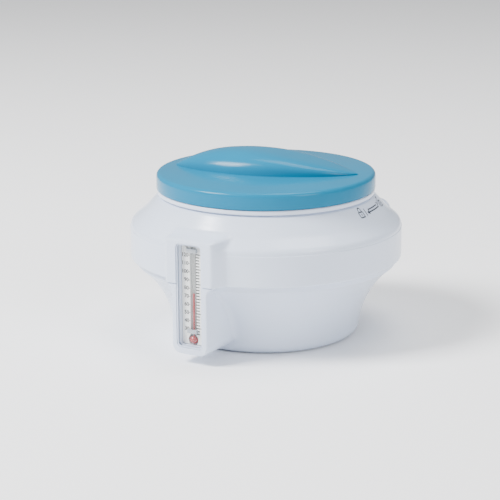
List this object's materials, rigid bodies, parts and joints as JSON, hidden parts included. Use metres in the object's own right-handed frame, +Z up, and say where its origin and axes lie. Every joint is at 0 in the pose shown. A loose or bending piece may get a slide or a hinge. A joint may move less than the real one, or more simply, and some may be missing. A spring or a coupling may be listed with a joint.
{
  "type": "floating chlorine dispenser",
  "caption": "Floating pool chlorine dispenser: sealed round float, twist-off lid with tablet scoop, telescoping slotted tablet basket with flow dial, and front thermometer.",
  "frame": {"origin": "On the float's vertical axis, in the plane of the foot, at the middle of the flow dial's sole", "axes": "+Z up along the float's axis, -Y out of the thermometer window, +X to the right of the thermometer as seen from behind the float looking along +Y"},
  "size_m": [0.185, 0.1905, 0.126],
  "materials": {
    "white_plastic": "glossy injection-moulded polypropylene, bluish white",
    "cyan_plastic": "glossy injection-moulded plastic, cyan",
    "blue_plastic": "semi-gloss injection-moulded plastic, deep blue",
    "seal_rubber": "moulded sealing rubber, satin",
    "scale_card": "white plastic card with a printed scale, matte",
    "tube_glass": "clear drawn glass",
    "red_spirit": "red dyed thermometer spirit",
    "clip_plastic": "grey moulded clip plastic",
    "clear_lens": "clear polycarbonate window",
    "screw_steel": "stainless steel"
  },
  "bodies": {
    "float": {"upper_shell": "white_plastic", "lower_shell": "white_plastic", "tablet_well_tube": "white_plastic", "shell_gasket": "seal_rubber", "thermometer_tray": "white_plastic", "thermometer_card": "scale_card", "thermometer_glass": "tube_glass", "thermometer_spirit": "red_spirit", "tube_clip_bottom": "clip_plastic", "tube_clip_top": "clip_plastic", "thermometer_lens": "clear_lens"},
    "lid_seal": {"lid_seal": "seal_rubber"},
    "lid": {"lid": "cyan_plastic", "tablet_scoop": "blue_plastic", "scoop_screw_1": "screw_steel", "scoop_screw_2": "screw_steel", "scoop_screw_3": "screw_steel"},
    "basket": {"tablet_basket": "blue_plastic", "basket_floor": "blue_plastic"},
    "flow_dial": {"flow_dial": "blue_plastic", "dial_retainer": "white_plastic"}
  },
  "joints": [
    {"name": "lid_lift", "type": "slide", "parent": "float", "child": "lid_seal", "axis": [0, 0, 1], "range_m": [0, 0.12]},
    {"name": "lid_twist", "type": "hinge", "parent": "lid_seal", "child": "lid", "pos_m": [0, 0, 0.107], "axis": [0, 0, 1], "range_deg": [-30, 0]},
    {"name": "chamber_extend", "type": "slide", "parent": "float", "child": "basket", "axis": [0, 0, -1], "range_m": [0, 0.048]},
    {"name": "flow_adjust", "type": "hinge", "parent": "basket", "child": "flow_dial", "pos_m": [0, 0, 0.004], "axis": [0, 0, 1], "range_deg": [0, 15]}
  ]
}
